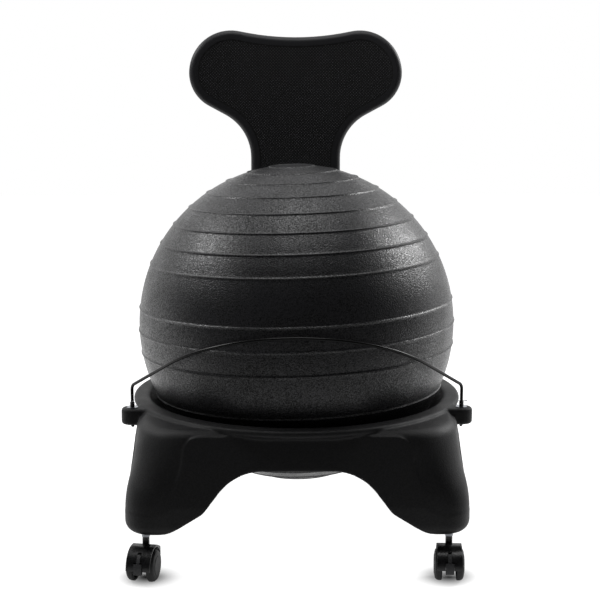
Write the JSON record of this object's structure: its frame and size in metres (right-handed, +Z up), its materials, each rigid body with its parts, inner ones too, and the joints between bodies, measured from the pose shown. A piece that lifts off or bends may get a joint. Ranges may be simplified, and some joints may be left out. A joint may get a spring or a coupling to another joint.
{
  "type": "balance ball chair",
  "caption": "Balance ball chair: exercise ball seated in a four-legged moulded frame on twin-wheel casters, held by a wire bar, with a T-shaped back support.",
  "frame": {"origin": "on the floor under the middle of the ball", "axes": "+Z up, the sitter faces -Y and the back support is on the +Y side; +X is the sitter's left"},
  "size_m": [0.562, 0.5745, 0.8411],
  "materials": {
    "frame_plastic": "blow-moulded polyethylene, satin",
    "ball_pvc": "charcoal vinyl with a fine leathery grain, soft sheen",
    "plug_plastic": "smooth plastic stopper",
    "bar_enamel": "gloss black enamel on steel wire",
    "zinc_steel": "zinc plated",
    "bushing_plastic": "smooth nylon",
    "back_plastic": "fine texture with a pattern of raised dots, smooth border",
    "black_steel": "black oxide steel",
    "brass": "knurled insert, plain brass",
    "socket_plastic": "nylon sleeve",
    "bright_steel": "bright turned steel",
    "hood_plastic": "moulded nylon, low gloss",
    "wheel_plastic": "hard nylon wheel"
  },
  "bodies": {
    "base": {"base_frame": "frame_plastic", "retaining_bar": "bar_enamel", "bar_washers": "zinc_steel", "bar_bushings": "bushing_plastic", "bar_upper_pins": "zinc_steel", "bar_lower_pins": "zinc_steel", "backrest_panel": "back_plastic", "backrest_bolts": "black_steel", "backrest_washers": "zinc_steel", "backrest_inserts": "brass", "caster_socket_front_left": "socket_plastic", "caster_stem_front_left": "bright_steel", "caster_socket_front_right": "socket_plastic", "caster_stem_front_right": "bright_steel", "caster_socket_rear_left": "socket_plastic", "caster_stem_rear_left": "bright_steel", "caster_socket_rear_right": "socket_plastic", "caster_stem_rear_right": "bright_steel", "grip_rings": "bright_steel"},
    "caster_front_left": {"caster_hood_front_left": "hood_plastic", "caster_axle_front_left": "bright_steel", "brake_pin_front_left": "bright_steel"},
    "wheel_front_left_outboard": {"wheel_front_left_outboard": "wheel_plastic"},
    "wheel_front_left_inboard": {"wheel_front_left_inboard": "wheel_plastic"},
    "brake_lever_front_left": {"brake_lever_front_left": "hood_plastic"},
    "caster_front_right": {"caster_hood_front_right": "hood_plastic", "caster_axle_front_right": "bright_steel", "brake_pin_front_right": "bright_steel"},
    "wheel_front_right_outboard": {"wheel_front_right_outboard": "wheel_plastic"},
    "wheel_front_right_inboard": {"wheel_front_right_inboard": "wheel_plastic"},
    "brake_lever_front_right": {"brake_lever_front_right": "hood_plastic"},
    "caster_rear_left": {"caster_hood_rear_left": "hood_plastic", "caster_axle_rear_left": "bright_steel"},
    "wheel_rear_left_outboard": {"wheel_rear_left_outboard": "wheel_plastic"},
    "wheel_rear_left_inboard": {"wheel_rear_left_inboard": "wheel_plastic"},
    "caster_rear_right": {"caster_hood_rear_right": "hood_plastic", "caster_axle_rear_right": "bright_steel"},
    "wheel_rear_right_outboard": {"wheel_rear_right_outboard": "wheel_plastic"},
    "wheel_rear_right_inboard": {"wheel_rear_right_inboard": "wheel_plastic"},
    "ball": {"ball_shell": "ball_pvc", "ball_valve": "ball_pvc", "ball_plug": "plug_plastic"}
  },
  "joints": [
    {"name": "swivel_front_left", "type": "hinge", "parent": "base", "child": "caster_front_left", "pos_m": [-0.2333, -0.2275, 0.075], "axis": [0, 0, 1], "continuous": true},
    {"name": "spin_front_left_outboard", "type": "hinge", "parent": "caster_front_left", "child": "wheel_front_left_outboard", "pos_m": [-0.23621, -0.24119, 0.025], "axis": [0.9781, -0.2079, 0], "continuous": true},
    {"name": "spin_front_left_inboard", "type": "hinge", "parent": "caster_front_left", "child": "wheel_front_left_inboard", "pos_m": [-0.23621, -0.24119, 0.025], "axis": [0.9781, -0.2079, 0], "continuous": true},
    {"name": "press_front_left", "type": "hinge", "parent": "caster_front_left", "child": "brake_lever_front_left", "pos_m": [-0.24, -0.25903, 0.03639], "axis": [0.9781, -0.2079, 0], "range_deg": [0, 8]},
    {"name": "swivel_front_right", "type": "hinge", "parent": "base", "child": "caster_front_right", "pos_m": [0.2333, -0.2275, 0.075], "axis": [0, 0, 1], "continuous": true},
    {"name": "spin_front_right_outboard", "type": "hinge", "parent": "caster_front_right", "child": "wheel_front_right_outboard", "pos_m": [0.23245, -0.24147, 0.025], "axis": [0.9981, -0.061, 0], "continuous": true},
    {"name": "spin_front_right_inboard", "type": "hinge", "parent": "caster_front_right", "child": "wheel_front_right_inboard", "pos_m": [0.23245, -0.24147, 0.025], "axis": [0.9981, -0.061, 0], "continuous": true},
    {"name": "press_front_right", "type": "hinge", "parent": "caster_front_right", "child": "brake_lever_front_right", "pos_m": [0.23133, -0.25967, 0.03639], "axis": [0.9981, -0.061, 0], "range_deg": [0, 8]},
    {"name": "swivel_rear_left", "type": "hinge", "parent": "base", "child": "caster_rear_left", "pos_m": [-0.2333, 0.2275, 0.075], "axis": [0, 0, 1], "continuous": true},
    {"name": "spin_rear_left_outboard", "type": "hinge", "parent": "caster_rear_left", "child": "wheel_rear_left_outboard", "pos_m": [-0.23716, 0.24096, 0.025], "axis": [-0.9613, -0.2756, 0], "continuous": true},
    {"name": "spin_rear_left_inboard", "type": "hinge", "parent": "caster_rear_left", "child": "wheel_rear_left_inboard", "pos_m": [-0.23716, 0.24096, 0.025], "axis": [-0.9613, -0.2756, 0], "continuous": true},
    {"name": "swivel_rear_right", "type": "hinge", "parent": "base", "child": "caster_rear_right", "pos_m": [0.2333, 0.2275, 0.075], "axis": [0, 0, 1], "continuous": true},
    {"name": "spin_rear_right_outboard", "type": "hinge", "parent": "caster_rear_right", "child": "wheel_rear_right_outboard", "pos_m": [0.2333, 0.2415, 0.025], "axis": [-1, 0, 0], "continuous": true},
    {"name": "spin_rear_right_inboard", "type": "hinge", "parent": "caster_rear_right", "child": "wheel_rear_right_inboard", "pos_m": [0.2333, 0.2415, 0.025], "axis": [-1, 0, 0], "continuous": true},
    {"name": "ball_turn", "type": "hinge", "parent": "base", "child": "ball", "pos_m": [0, 0, 0.3594], "axis": [-0.0309, 0, 0.9995], "continuous": true}
  ]
}
